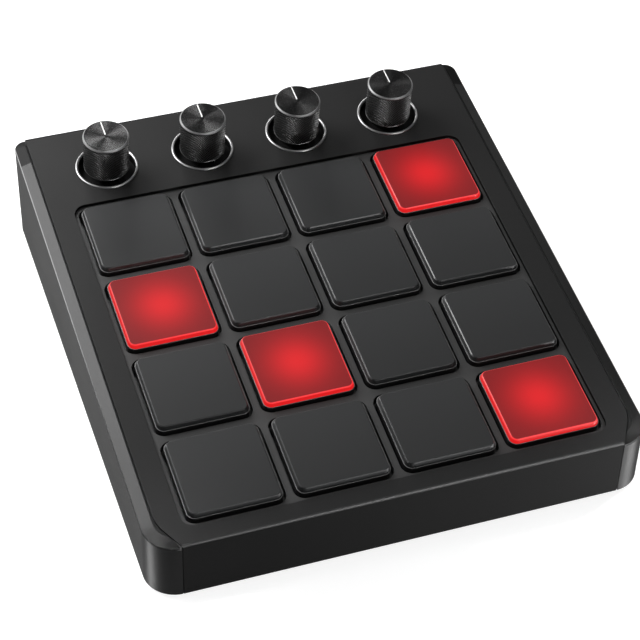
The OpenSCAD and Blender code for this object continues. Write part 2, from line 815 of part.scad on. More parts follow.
module knob(i) {
    head_low = knob_top - knob_head;
    color(grid_black) at_knob(i) difference() {
        union() {
            slab(knob_gap, knob_top - knob_head / 2) circle(root_r - foot_reach);
            slab(knob_gap + knob_foot, head_low) knurl_outline();
            translate([0, 0, head_low]) rotate_extrude() polygon([
                [0, 0], [head_r, 0], [head_r, knob_head - knob_chamfer],
                [head_r - knob_chamfer, knob_head], [0, knob_head - knob_dish]
            ]);
        }
        slab(knob_gap - overrun, shaft_top + fit_play) shaft_outline(shaft_d + 2 * fit_play);
        translate([-pointer_w / 2, pointer_start, knob_top - pointer_depth]) cube([pointer_w, knob_d, overrun]);
    }
}

top_cover();
left_cheek();
right_cheek();
base_plate();
feet();
pad_bezel();
spring_mat();
sensor_sheet();
pad_board();
pad_leds();
control_board();
board_parts();
ribbon_cable();
usb_socket();
knob_collars();
pot_bodies();
pot_nuts();
cover_screws();
cheek_screws();
board_screws();
for (row = [1:pad_count], col = [1:pad_count]) {
    pad_cap(row, col);
    pad_carrier(row, col);
}
for (i = [1:knob_count]) {
    knob(i);
    pot_shaft(i);
}
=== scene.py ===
import json
import math

import bmesh
import bpy
import numpy as np
from mathutils import Matrix, Vector


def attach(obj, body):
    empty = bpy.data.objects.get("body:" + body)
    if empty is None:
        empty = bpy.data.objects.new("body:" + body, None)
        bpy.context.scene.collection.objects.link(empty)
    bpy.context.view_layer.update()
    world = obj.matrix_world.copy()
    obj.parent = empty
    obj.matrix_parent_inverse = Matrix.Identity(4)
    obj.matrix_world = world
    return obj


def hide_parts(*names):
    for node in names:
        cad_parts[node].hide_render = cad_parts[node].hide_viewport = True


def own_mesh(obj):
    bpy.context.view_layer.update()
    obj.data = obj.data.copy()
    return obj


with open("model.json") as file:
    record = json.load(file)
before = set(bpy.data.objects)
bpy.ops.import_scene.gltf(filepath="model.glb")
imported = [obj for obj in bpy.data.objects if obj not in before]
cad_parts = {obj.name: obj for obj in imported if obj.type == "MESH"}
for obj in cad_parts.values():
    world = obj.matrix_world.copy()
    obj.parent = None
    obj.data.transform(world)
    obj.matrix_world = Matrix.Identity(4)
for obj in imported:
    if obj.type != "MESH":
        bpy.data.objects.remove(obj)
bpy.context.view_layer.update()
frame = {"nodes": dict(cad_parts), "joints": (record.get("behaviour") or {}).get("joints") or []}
nodes = frame["nodes"]
print("frame loaded:", len(nodes), "nodes")

# where things lie on the sloping panel, as in the solids: degrees for slopes, millimetres for the rest
panel = {"tilt": 5.0, "frontTop": 23.0, "depth": 177.92}
padField = {"count": 4, "pitch": 34.0, "middle": 74.4, "capSize": 29.4, "capCorner": 2.5, "capLean": 0.45,
            "capBevel": 0.3, "lit": ["r1c4", "r2c1", "r3c2", "r4c4"]}
knobRow = {"pitch": 33.5, "shift": -2.0, "middle": 158.0, "well": 9.7}
cheekPlan = {"seam": 76.0, "gap": 0.3, "tip": 70.3, "slant": 30.0, "bend": 14.0}
tilt = math.radians(panel["tilt"])


def fromPanel(points):
    # right, up the slope, out of the panel in mm -> metres in the shared frame
    s, t, n = np.moveaxis(np.asarray(points, float), -1, 0)
    y = t * math.cos(tilt) - n * math.sin(tilt) - panel["depth"] / 2
    z = t * math.sin(tilt) + n * math.cos(tilt) + panel["frontTop"]
    return np.stack([s, y, z], axis=-1) / 1000


panelNormal = (fromPanel([0, 0, 1]) - fromPanel([0, 0, 0])) * 1000


class Wire:
    # one output socket; a sum of wires adds the Math nodes for it
    def __init__(self, graph, socket):
        self.graph, self.socket = graph, socket

    def run(self, operation, *others):
        # this value and the others through one Math node
        return self.graph.add("Math", {"operation": operation}, self, *others)

    def __add__(self, other):
        return self.run("ADD", other)

    def __sub__(self, other):
        return self.run("SUBTRACT", other)

    def __mul__(self, other):
        return self.run("MULTIPLY", other)

    def __truediv__(self, other):
        return self.run("DIVIDE", other)

    def __rsub__(self, other):
        return self.graph.add("Math", {"operation": "SUBTRACT"}, other, self)

    __radd__ = __add__
    __rmul__ = __mul__


class Finish:
    # one material: a Principled surface and the nodes that feed it
    def __init__(self, name):
        self.material = bpy.data.materials.new(name)
        self.material.use_nodes = True
        self.tree = self.material.node_tree
        self.tree.nodes.clear()
        self.surface = self.node("BsdfPrincipled", {})
        self.end = self.node("OutputMaterial", {}, Wire(self, self.surface.outputs[0]))

    def node(self, kind, settings, *values, **named):
        # any node: its settings first, then its sockets in order or by name
        made = self.tree.nodes.new("ShaderNode" + kind)
        for key, value in settings.items():
            setattr(made, key, value)
        for socket, value in zip(made.inputs, values):
            self.feed(socket, value)
        for key, value in named.items():
            self.feed(made.inputs[key.replace("_", " ")], value)
        return made

    def add(self, kind, settings, *values, out=0, **named):
        # the same, for one of its outputs
        return Wire(self, self.node(kind, settings, *values, **named).outputs[out])

    def feed(self, socket, value):
        # a wire is linked, a plain value is set, None leaves the socket alone
        if isinstance(value, Wire):
            self.tree.links.new(value.socket, socket)
        elif value is not None:
            socket.default_value = value

    def mix(self, factor, first, second):
        # first colour where factor is 0, second where it is 1; the colour sockets come after five others
        return self.add("Mix", {"data_type": "RGBA"}, factor, *[None] * 5, first, second, out=2)

    def mottle(self, share, tone, swing):
        # grey from tone less its swing to tone plus its swing
        return self.mix(share, grey(tone * (1 - swing)), grey(tone * (1 + swing)))

    def place(self):
        # metres in the piece's own frame
        return self.add("TexCoord", {}, out="Object")

    def split(self, vector):
        # the three parts of a vector
        return [Wire(self, socket) for socket in self.node("SeparateXYZ", {}, vector).outputs]

    def onPanel(self):
        # millimetres right, up the slope and out of the panel
        corner = Vector(fromPanel([0, 0, 0]) * 1000)
        shift = -(Matrix.Rotation(-tilt, 3, "X") @ corner)
        turned = self.add("Mapping", {"vector_type": "POINT"}, self.place(), shift, (-tilt, 0, 0), (1000,) * 3)
        return self.split(turned)

    def facing(self):
        # how far a face looks up, 0 to 1
        return self.split(self.add("NewGeometry", {}, out="True Normal"))[2]

    def step(self, value, low, high):
        # 0 below low, 1 above high, smooth between
        return self.add("MapRange", {"interpolation_type": "SMOOTHSTEP"}, value, low, high, 0.0, 1.0)

    def between(self, value, rise, fall):
        # 0, up to 1 over the rise, back to 0 over the fall
        return self.step(value, *rise) * (1 - self.step(value, *fall))

    def noise(self, size, stretch=(1, 1, 1), detail=3.0, rough=0.5):
        # cloudy values near 0.5, with lumps about size mm across
        scale = tuple(1 / (size * one) for one in stretch)
        at = self.add("Mapping", {"vector_type": "POINT"}, self.place(), (0, 0, 0), (-tilt, 0, 0), (1000,) * 3)
        at = self.add("VectorMath", {"operation": "MULTIPLY"}, at, scale)
        return self.add("TexNoise", {}, at, Scale=1.0, Detail=detail, Roughness=rough)

    def bump(self, height, strength, depth, normal=None):
        # relief of this depth in mm, on top of another normal if one is given
        return self.add("Bump", {}, strength, depth / 1000, Height=height, Normal=normal)

    def softEdge(self, radius):
        # edges shaded as if rounded to this many mm
        return self.add("Bevel", {"samples": 4}, radius / 1000)

    def blend(self, share, other):
        # the other surface where share is 1
        first = Wire(self, self.surface.outputs[0])
        self.feed(self.end.inputs[0], self.add("MixShader", {}, share, first, other))

    def done(self, **values):
        # the surface's sockets by name, then the finished material
        for key, value in values.items():
            self.feed(self.surface.inputs[key.replace("_", " ")], value)
        return self.material


def grey(level, warm=0.0):
    # one level in all three colours, with red raised and blue lowered by the warm share
    return (level * (1 + warm), level, level * (1 - warm), 1)


def opaque(colour):
    # red, green and blue with full cover
    return (*colour, 1)


def dress(names, material):
    # one material in every slot of these nodes
    for name in names:
        for slot in nodes[name].material_slots:
            slot.material = material


# painted cover
coverPaint = {"tone": 0.0088, "grain": 0.35, "grainDepth": 0.02, "cloud": 28.0, "swing": 0.25, "roughness": 0.46,
              "specular": 0.15, "wallTone": 0.008, "wallSpecular": 0.02, "edgeCoat": 0.9, "edgeRoughness": 0.27,
              "edgeRadius": 0.22, "bevelStart": 177.0, "bevelShadeTone": 0.002}


def paintCover(name, values):
    # fine grain on slow clouds; coated where the front edge turns, a painted shade on the rear bevel, matt on
    # upright walls
    g = Finish(name)
    t = g.onPanel()[1]
    up = g.facing()
    speck = g.noise(values["grain"], detail=2.0)
    cloud = g.noise(values["cloud"], detail=2.0)
    share = speck * 0.6 + cloud * 0.4
    start = values["bevelStart"]
    bevel = g.step(t, start - 0.1, start + 0.1) * g.step(up, 0.5, 0.6)
    edge = g.between(up, (0.3, 0.45), (0.9, 0.95))
    # painted shade: the rear bevel is darkened to near black
    tone = g.mix(bevel, g.mottle(share, values["tone"], values["swing"]), grey(values["bevelShadeTone"]))
    rough = values["roughness"] + (speck - 0.5) * 0.10 + (cloud - 0.5) * 0.06 + bevel * 0.4
    normal = g.bump(speck, 0.5, values["grainDepth"], g.softEdge(values["edgeRadius"]))
    wallTone = g.mottle(share, values["wallTone"], values["swing"])
    wall = g.add("BsdfPrincipled", {}, Base_Color=wallTone, Roughness=rough + 0.1, Normal=normal,
                 Specular_IOR_Level=values["wallSpecular"])
    g.blend(1 - g.step(up, 0.2, 0.3), wall)
    return g.done(Base_Color=tone, Roughness=rough, Normal=normal, Specular_IOR_Level=values["specular"],
                  Coat_Weight=edge * values["edgeCoat"], Coat_Roughness=values["edgeRoughness"])


dress(["top_cover"], paintCover("coverPaint", coverPaint))

# brushed cheeks
cheekMetal = {"tone": 0.020, "swing": 0.3, "line": 0.14, "lineLength": 45.0, "lineDepth": 0.05, "cloud": 30.0,
              "roughness": 0.38, "rearShadeFrom": 166.5, "rearShadeTone": 0.012, "cutTone": 0.15, "cutRoughness": 0.22,
              "edgeTint": 0.5, "wallTone": 0.026, "wallRoughness": 0.6, "wallStretch": 0.85}


def brushMetal(name, values):
    # lines along the case on slow clouds; a bare cut chamfer, painted shade over the chamfer's rear end, stretched
    # gloss on the walls
    g = Finish(name)
    t = g.onPanel()[1]
    up = g.facing()
    line = g.noise(values["line"], stretch=(1, values["lineLength"] / values["line"], 1), detail=3.0, rough=0.7)
    cloud = g.noise(values["cloud"], detail=2.0)
    share = line * 0.7 + cloud * 0.3
    cut = g.between(up, (0.5, 0.56), (0.82, 0.88))
    end = values["rearShadeFrom"]
    # painted shade: the chamfer is darker over its rear end
    paintedRearShade = g.step(t, end - 0.15, end + 0.15) * g.step(up, 0.86, 0.9)
    tone = g.mix(paintedRearShade, g.mottle(share, values["tone"], values["swing"]), grey(values["rearShadeTone"]))
    tone = g.mix(cut, tone, grey(values["cutTone"]))
    rough = values["roughness"] + (line - 0.5) * 0.2 + (cloud - 0.5) * 0.06 + paintedRearShade * 0.15
    rough = rough + cut * (values["cutRoughness"] - values["roughness"])
    normal = g.bump(line * (1 - cut), 0.6, values["lineDepth"])
    tint = grey(values["edgeTint"])
    wallTone = g.mottle(share, values["wallTone"], values["swing"])
    wall = g.add("BsdfPrincipled", {}, Base_Color=wallTone, Roughness=values["wallRoughness"] + (line - 0.5) * 0.2,
                 Metallic=1.0, Anisotropic=values["wallStretch"], Anisotropic_Rotation=0.25, Normal=normal,
                 Specular_Tint=tint)
    g.blend(1 - g.step(up, 0.3, 0.4), wall)
    return g.done(Base_Color=tone, Roughness=rough, Metallic=1.0, Normal=normal, Specular_Tint=tint)


dress(["left_cheek", "right_cheek"], brushMetal("cheekMetal", cheekMetal))

# moulded plastics, rubber and silicone
plastics = {
    "gridPlastic": {"nodes": ["pad_bezel"], "tone": 0.022, "grain": 0.5, "depth": 0.015, "roughness": 0.5},
    "footRubber": {"nodes": ["feet"], "tone": 0.018, "grain": 0.8, "depth": 0.06, "roughness": 0.8},
    "basePaint": {"nodes": ["base_plate"], "tone": 0.02, "grain": 0.4, "depth": 0.02, "roughness": 0.55},
    "matSilicone": {"nodes": ["spring_mat"], "tone": 0.30, "grain": 1.2, "depth": 0.03, "roughness": 0.6},
    "lampPlastic": {"nodes": ["pad_leds"], "tone": 0.75, "grain": 0.6, "depth": 0.01, "roughness": 0.3},
    "chipPlastic": {"nodes": ["board_parts"], "tone": 0.02, "grain": 0.3, "depth": 0.02, "roughness": 0.5},
}


def mouldPlastic(name, values):
    # grain and clouds thirty times as wide in colour and gloss, with slightly rounded edges
    g = Finish(name)
    speck = g.noise(values["grain"], detail=3.0)
    cloud = g.noise(values["grain"] * 30, detail=2.0)
    tone = g.mottle(speck * 0.5 + cloud * 0.5, values["tone"], 0.2)
    rough = values["roughness"] + (speck - 0.5) * 0.12 + (cloud - 0.5) * 0.08
    normal = g.bump(speck, 0.5, values["depth"], g.softEdge(0.15))
    return g.done(Base_Color=tone, Roughness=rough, Normal=normal, Specular_IOR_Level=0.35)


for plasticName, plastic in plastics.items():
    dress(plastic["nodes"], mouldPlastic(plasticName, plastic))

padPlaces = list(np.ndindex(padField["count"], padField["count"]))  # row from the rear, column from the left
padNames = [f"r{row + 1}c{column + 1}" for row, column in padPlaces]
darkPads = [name for name in padNames if name not in padField["lit"]]

carrierPlastic = {"tone": 0.008, "ledgeHighlightTone": 0.11, "ledge": (-0.12, -0.04), "grain": 0.4, "roughness": 0.35}


def carrierLook(name, values):
    # black below, with a painted highlight on the ledge level with the panel
    g = Finish(name)
    n = g.onPanel()[2]
    speck = g.noise(values["grain"], detail=3.0)
    ledge = g.step(n, *values["ledge"])
    # painted highlight: the ledge is paler where it catches the light
    tone = g.mix(ledge * (0.7 + speck * 0.6), grey(values["tone"]), grey(values["ledgeHighlightTone"]))
    rough = values["roughness"] + (speck - 0.5) * 0.12
    return g.done(Base_Color=tone, Roughness=rough, Normal=g.bump(speck, 0.4, 0.01, g.softEdge(0.15)))


dress(["pad_carrier_" + name for name in padNames], carrierLook("carrierPlastic", carrierPlastic))

# pad caps, dark and lit from inside
darkCap = {"tone": 0.0118, "rearLitTone": 0.0185, "roughness": 0.5, "specular": 0.18, "coat": 0.5,
           "coatRoughness": 0.18, "grain": 0.5, "grainDepth": 0.012, "cloud": 14.0, "edgeRadius": 0.3}
litCap = {"middle": (0.74, 0.012, 0.016), "rim": (0.21, 0.006, 0.008), "edge": (0.74, 0.010, 0.012),
          "bevel": (1.0, 0.04, 0.045), "spread": 9.3, "tone": 0.012, "roughness": 0.5, "specular": 0.12,
          "coat": 0.25, "coatRoughness": 0.18, "grain": 0.5, "grainDepth": 0.012, "edgeRadius": 0.3}


def padPlace(g):
    # millimetres from the middle of the pad, sideways and up the slope, and distance inside its outline
    s, t, n = g.onPanel()
    pitch, corner = padField["pitch"], padField["capCorner"]
    u = ((s / pitch).run("FRACT") - 0.5) * pitch
    v = (((t - padField["middle"]) / pitch).run("FRACT") - 0.5) * pitch
    flat = padField["capSize"] / 2 - corner
    a = (u.run("ABSOLUTE") - flat).run("MAXIMUM", 0.0)
    b = (v.run("ABSOLUTE") - flat).run("MAXIMUM", 0.0)
    inside = corner - (a * a + b * b).run("SQRT")
    nearEdge = flat - u.run("ABSOLUTE").run("MAXIMUM", v.run("ABSOLUTE"))
    return u, v, inside.run("MINIMUM", nearEdge.run("MAXIMUM", 0.0) + corner)


def capDark(name, values):
    # smoked plastic with painted light making it paler towards its rear edge, with faint clouds
    g = Finish(name)
    u, v, inside = padPlace(g)
    speck = g.noise(values["grain"], detail=3.0)
    cloud = g.noise(values["cloud"], detail=2.0)
    # painted light: each cap grows paler towards its rear edge
    rise = g.step(v, -15.0, 15.0)
    tone = g.mix(rise, grey(values["tone"], -0.03), grey(values["rearLitTone"], -0.03))
    tone = g.mix((cloud * 0.6 + speck * 0.4 - 0.5) * 0.3 + 0.15, tone, grey(values["tone"] * 1.6))
    rough = values["roughness"] + (speck - 0.5) * 0.14
    normal = g.bump(speck, 0.4, values["grainDepth"], g.softEdge(values["edgeRadius"]))
    return g.done(Base_Color=tone, Roughness=rough, Normal=normal, Specular_IOR_Level=values["specular"],
                  Coat_Weight=values["coat"], Coat_Roughness=values["coatRoughness"])


def capLit(name, values):
    # a bell-shaped glow from middle to rim, then a bright bevel and a clear red edge
    g = Finish(name)
    u, v, inside = padPlace(g)
    speck = g.noise(values["grain"], detail=3.0)
    far = (u * u + v * v) / values["spread"] ** 2
    glow = (far * -1.0).run("EXPONENT") + (speck - 0.5) * 0.06
    light = g.mix(glow, opaque(values["rim"]), opaque(values["middle"]))
    lean = padField["capLean"]
    bevelEnd = lean + padField["capBevel"]
    light = g.mix(1 - g.step(inside, bevelEnd - 0.1, bevelEnd + 0.1), light, opaque(values["bevel"]))
    light = g.mix(1 - g.step(inside, lean - 0.1, lean + 0.05), light, opaque(values["edge"]))
    rough = values["roughness"] + (speck - 0.5) * 0.14
    normal = g.bump(speck, 0.4, values["grainDepth"], g.softEdge(values["edgeRadius"]))
    tone = values["tone"]
    return g.done(Base_Color=(tone, tone * 0.3, tone * 0.3, 1), Roughness=rough, Normal=normal,
                  Emission_Color=light, Emission_Strength=1.0, Specular_IOR_Level=values["specular"],
                  Coat_Weight=values["coat"], Coat_Roughness=values["coatRoughness"])


dress(["pad_cap_" + name for name in darkPads], capDark("capDark", darkCap))
dress(["pad_cap_" + name for name in padField["lit"]], capLit("capLit", litCap))
print("case and pads finished")

# metal parts inside
screws = ["cover_screws", "cheek_screws", "board_screws"]
shafts = [f"pot_shaft_{number}" for number in range(1, 5)]
metals = {
    "potSteel": {"nodes": ["pot_bodies"], "tone": 0.5, "roughness": 0.35, "line": 0.3},
    "nutBlack": {"nodes": ["pot_nuts"], "tone": 0.012, "roughness": 0.45, "line": 0.3},
    "screwSteel": {"nodes": screws, "tone": 0.3, "roughness": 0.35, "line": 0.2},
    "socketSteel": {"nodes": ["usb_socket"], "tone": 0.55, "roughness": 0.28, "line": 0.25},
    "shaftSteel": {"nodes": shafts, "tone": 0.5, "roughness": 0.3, "line": 0.2},
}


def drawnMetal(name, values):
    # short lines sideways and wider clouds in colour and gloss
    g = Finish(name)
    line = g.noise(values["line"], stretch=(8, 1, 1), detail=2.0)
    cloud = g.noise(6.0, detail=2.0)
    tone = g.mottle(line * 0.5 + cloud * 0.5, values["tone"], 0.2)
    rough = values["roughness"] + (line - 0.5) * 0.2 + (cloud - 0.5) * 0.1
    normal = g.bump(line, 0.3, 0.01, g.softEdge(0.1))
    return g.done(Base_Color=tone, Roughness=rough, Metallic=1.0, Normal=normal)


for metalName, metal in metals.items():
    dress(metal["nodes"], drawnMetal(metalName, metal))

collarMetal = {"lipTone": 0.26, "cupTone": 0.003, "roughness": 0.34, "specular": 0.1, "grain": 0.3}


def knobPlace(g):
    # millimetres from the nearest knob's axis, and level over the panel
    s, t, n = g.onPanel()
    pitch = knobRow["pitch"]
    u = (((s - knobRow["shift"]) / pitch).run("FRACT") - 0.5) * pitch
    v = t - knobRow["middle"]
    return (u * u + v * v).run("SQRT"), n


def collarLook(name, values):
    # bare metal on the lip, dull black inside the cup
    g = Finish(name)
    r, n = knobPlace(g)
    speck = g.noise(values["grain"], detail=2.0)
    lip = g.step(n, -0.4, -0.2) * g.step(r, knobRow["well"] - 0.05, knobRow["well"] + 0.05)
    tone = g.mix(lip, grey(values["cupTone"]), grey(values["lipTone"]))
    rough = values["roughness"] + (1 - lip) * 0.3 + (speck - 0.5) * 0.1
    return g.done(Base_Color=tone, Roughness=rough, Metallic=lip, Normal=g.bump(speck, 0.2, 0.006),
                  Specular_IOR_Level=values["specular"])


dress(["knob_collars"], collarLook("collarMetal", collarMetal))

# circuit boards, sensor film and ribbon
boardLaminate = {"mask": (0.012, 0.09, 0.035), "copper": (0.03, 0.16, 0.06), "track": 1.6, "patch": 9.0}


def laminate(name, values):
    # copper tracks under green mask: lanes up the slope in some patches, wider ones across in the others
    g = Finish(name)
    s, t, n = g.onPanel()
    lane = ((s / values["track"]).run("FRACT") - 0.5).run("ABSOLUTE")
    across = ((t / (values["track"] * 3)).run("FRACT") - 0.5).run("ABSOLUTE")
    patch = g.step(g.noise(values["patch"], detail=1.0), 0.46, 0.54)
    copper = g.step(lane, 0.30, 0.34) * patch + g.step(across, 0.42, 0.45) * (1 - patch)
    tone = g.mix(copper, opaque(values["mask"]), opaque(values["copper"]))
    return g.done(Base_Color=tone, Roughness=0.3 + copper * 0.1, Normal=g.bump(copper, 0.6, 0.03))


dress(["pad_board", "control_board"], laminate("boardLaminate", boardLaminate))

sensorFilm = {"film": (0.55, 0.33, 0.05), "ink": (0.05, 0.05, 0.055), "finger": 1.2}
ribbonFilm = {"film": (0.75, 0.75, 0.73), "ink": (0.45, 0.45, 0.45), "finger": 1.0}


def stripedFilm(name, values):
    # printed fingers up the slope, one every finger mm
    g = Finish(name)
    s = g.onPanel()[0]
    lane = ((s / values["finger"]).run("FRACT") - 0.5).run("ABSOLUTE")
    ink = g.step(lane, 0.2, 0.26) * (0.7 + g.noise(3.0) * 0.4)
    tone = g.mix(ink, opaque(values["film"]), opaque(values["ink"]))
    return g.done(Base_Color=tone, Roughness=0.3 + ink * 0.25, Normal=g.bump(ink, 0.4, 0.02))


dress(["sensor_sheet"], stripedFilm("sensorFilm", sensorFilm))
dress(["ribbon_cable"], stripedFilm("ribbonFilm", ribbonFilm))
print("inside parts finished")


def gridSurface(name, points, cut=None):
    # rows x columns of points -> quads, with the last column joined to the first
    # where cut is given, each quad folds along the diagonal that is cut deeper
    rows, cols = points.shape[:2]
    here = np.arange(rows * cols).reshape(rows, cols)
    after = np.roll(here, -1, axis=1)
    quads = np.stack([here[:-1], after[:-1], after[1:], here[1:]], axis=-1).reshape(-1, 4)
    if cut is not None:
        depth = cut.reshape(-1)[quads]
        turn = depth[:, 1] + depth[:, 3] > depth[:, 0] + depth[:, 2] + 1e-9
        quads[turn] = np.roll(quads[turn], -1, axis=1)
    mesh = bpy.data.meshes.new(name)
    mesh.from_pydata(points.reshape(-1, 3).tolist(), [], quads.tolist())
    if cut is not None:
        mesh.attributes.new("cut", "FLOAT", "POINT").data.foreach_set("value", cut.reshape(-1))
    return closeMesh(mesh)


def closeMesh(mesh, sharp=35.0):
    # merges doubled points at poles and seams, turns faces outwards, shades smooth but for edges past this angle
    bm = bmesh.new()
    bm.from_mesh(mesh)
    bmesh.ops.remove_doubles(bm, verts=bm.verts, dist=1e-7)
    bmesh.ops.dissolve_degenerate(bm, edges=bm.edges, dist=1e-8)
    bmesh.ops.recalc_face_normals(bm, faces=bm.faces)
    bm.to_mesh(mesh)
    bm.free()
    mesh.shade_smooth()
    mesh.set_sharp_from_angle(angle=math.radians(sharp))
    return mesh


def addPiece(mesh, material, body, slot, *replaced):
    # an object at the origin that rides on a body, and the nodes it stands for
    piece = bpy.data.objects.new(mesh.name, mesh)
    bpy.context.scene.collection.objects.link(piece)
    mesh.materials.append(material)
    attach(piece, body)
    if replaced:
        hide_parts(*replaced)
    return piece


# knobs: sizes in mm, the pointer's among them
knob = {"radius": 7.8, "low": 0.6, "top": 14.2, "chamfer": 0.45, "dish": 0.05, "bore": 3.0, "boreTop": 9.0,
        "diamonds": 60, "perDiamond": 6, "knurlDepth": 0.3, "knurlStart": 0.35, "startFade": 0.4,
        "plainBand": 0.3, "endFade": 0.25, "rings": 103, "ringPitch": 0.36, "ringDepth": 0.045,
        "sideTone": 0.010, "tipGlintTone": 0.11, "faceTone": 0.055, "rimTone": 0.15, "roughness": 0.25, "grain": 0.25,
        "pointerWidth": 0.55, "pointerStart": 0.5, "pointerShort": 0.55, "pointerSunk": 0.004,
        "pointerDeep": 0.35, "pointerTone": 0.8}


def knobProfile(values):
    # radius, height and knurl share of each ring, from the bore's roof round the outside to the middle of the top
    r, low, bore, roof = values["radius"], values["low"], values["bore"], values["boreTop"]
    rim, shoulder = r - values["chamfer"], values["top"] - values["chamfer"]
    foot = [(0, roof, 0), (bore, roof, 0), (bore, low, 0), (r - 0.5, low, 0), (r - 0.3, low + 0.2, 0)]
    start = low + values["knurlStart"]
    step = 2 * math.pi * r / values["diamonds"] / values["perDiamond"]
    side = np.append(np.arange(start, shoulder - step / 2, step), shoulder)
    fade = np.clip((side - start) / values["startFade"], 0, 1)
    fade *= np.clip((shoulder - side - values["plainBand"]) / values["endFade"], 0, 1)
    wall = np.stack([np.full_like(side, r - 0.02), side, fade], axis=1)
    ringR = np.linspace(rim, 0, values["rings"])
    dip = values["dish"] * (1 - (ringR / rim) ** 2)
    groove = values["ringDepth"] * (0.5 - 0.5 * np.cos(2 * math.pi * (rim - ringR) / values["ringPitch"]))
    groove *= np.clip((ringR - 0.35) / 0.3, 0, 1)
    face = np.stack([ringR, values["top"] - dip - groove, np.zeros_like(ringR)], axis=1)
    return np.concatenate([foot, wall, face])


def knobPoints(values, centre):
    # the profile turned about the axis; two crossed helices cut straight-sided diamonds into the wall
    profile = knobProfile(values)
    turns = values["diamonds"]
    angle = np.linspace(0, 2 * math.pi, turns * values["perDiamond"], endpoint=False)
    r, h, share = (profile[:, k][:, None] for k in range(3))
    climb = turns / values["radius"] * (h - values["low"] - values["knurlStart"])
    one = np.arcsin(np.abs(np.sin((turns * angle + climb) / 2))) * 2 / math.pi
    two = np.arcsin(np.abs(np.sin((turns * angle - climb) / 2))) * 2 / math.pi
    cut = share * (1 - np.minimum(one, two))
    radius = r - values["knurlDepth"] * cut
    points = np.stack([centre[0] + radius * np.cos(angle), centre[1] + radius * np.sin(angle),
                       np.broadcast_to(h, radius.shape)], axis=-1)
    return fromPanel(points), cut


def blackAnodised(name, values):
    # black wall with paler knurl tips, painted glints that also stand for wear, paler turned face, bright rim
    # between them
    g = Finish(name)
    r, n = knobPlace(g)
    speck = g.noise(values["grain"], detail=2.0)
    cloud = g.noise(values["grain"] * 16, detail=2.0)
    shoulder, rimR = values["top"] - values["chamfer"], values["radius"] - values["chamfer"]
    face = (1 - g.step(r, rimR - 0.05, rimR)) * g.step(n, shoulder - 0.4, shoulder - 0.2)
    rim = (1 - face) * g.step(n, shoulder - 0.05, shoulder + 0.02)
    cut = g.add("Attribute", {"attribute_name": "cut"}, out=2)
    tone = g.mottle(speck * 0.5 + cloud * 0.5, values["sideTone"], 0.25)
    # painted glints: knurl tips paler than the wall, standing also for worn tips
    tone = g.mix(1 - g.step(cut, 0.15, 0.6), tone, grey(values["tipGlintTone"]))
    tone = g.mix(face, tone, g.mottle(speck, values["faceTone"], 0.15))
    tone = g.mix(rim, tone, grey(values["rimTone"]))
    rough = values["roughness"] + (speck - 0.5) * 0.12 + (1 - face) * 0.15 + rim * 0.1
    return g.done(Base_Color=tone, Roughness=rough, Metallic=1.0, Normal=g.bump(speck, 0.2, 0.004))


def pointerPaint(name, values):
    # off-white paint with a fine grain
    g = Finish(name)
    speck = g.noise(0.3, detail=2.0)
    tone = g.mottle(speck, values["pointerTone"], 0.1)
    return g.done(Base_Color=tone, Roughness=0.4 + (speck - 0.5) * 0.1, Normal=g.bump(speck, 0.2, 0.01))


def pointerPoints(values, centre):
    # a bar along the groove: flat across, following the dish up the slope, its rims and underside let in
    along = np.linspace(values["pointerStart"], values["radius"] - values["pointerShort"], 24)
    across = np.linspace(-0.5, 0.5, 7)
    across = np.concatenate([across, across[-2:0:-1]])  # over the top, then back underneath
    a, c = np.meshgrid(along, across, indexing="ij")
    rim = values["radius"] - values["chamfer"]
    face = values["top"] - values["dish"] * (1 - (a / rim) ** 2)
    rowNumber, colNumber = np.indices(a.shape)
    low = (colNumber == 0) | (colNumber > 5) | (rowNumber == 0) | (rowNumber == len(along) - 1)
    height = face - values["pointerSunk"] - values["pointerDeep"] * low
    return fromPanel(np.stack([centre[0] + c * values["pointerWidth"], centre[1] + a, height], axis=-1))


knobMetal = blackAnodised("knobMetal", knob)
whitePaint = pointerPaint("pointerPaint", knob)
for joint in frame["joints"]:
    if not joint["name"].startswith("knob_turn"):
        continue
    number = joint["name"][-1]
    x, y, z = (1000 * value for value in joint["pos_m"])
    along = (y + panel["depth"] / 2) * math.cos(tilt) + (z - panel["frontTop"]) * math.sin(tilt)
    points, cut = knobPoints(knob, (x, along))
    skin = gridSurface("knobSkin_" + number, points, cut)
    addPiece(skin, knobMetal, "turn_" + number, "knob_metal", "knob_" + number)
    bar = gridSurface("knobPointer_" + number, pointerPoints(knob, (x, along)))
    addPiece(bar, whitePaint, "turn_" + number, "knob_metal")
print("knobs made")

# black strips in the seams between cover and cheeks, standing in for the shade inside them
seamShadeStrip = {"thick": 0.28, "top": -0.6, "deep": 1.1, "frontIn": 0.25, "rearIn": 0.8, "low": 1.52, "tone": 0.006,
             "grain": 0.5}


def seamPath(values):
    # plan of the seam's middle on the right: slant, bend, straight; distances along the case
    seam, tip, curve = cheekPlan["seam"], cheekPlan["tip"], cheekPlan["bend"]
    slant, half = math.radians(cheekPlan["slant"]), cheekPlan["gap"] / 2
    bendX, bendY = seam - curve, (seam - tip) / math.tan(slant) + curve * math.tan(slant / 2)
    turn, r = np.linspace(-slant, 0, 13), curve - half
    bend = np.stack([bendX + r * np.cos(turn), bendY + r * np.sin(turn)], axis=1)
    frontY = values["frontIn"]
    front = [[tip + frontY * math.tan(slant) - half / math.cos(slant), frontY]]
    rear = [[seam - half, panel["depth"] - values["rearIn"]]]
    return np.concatenate([front, bend, rear])


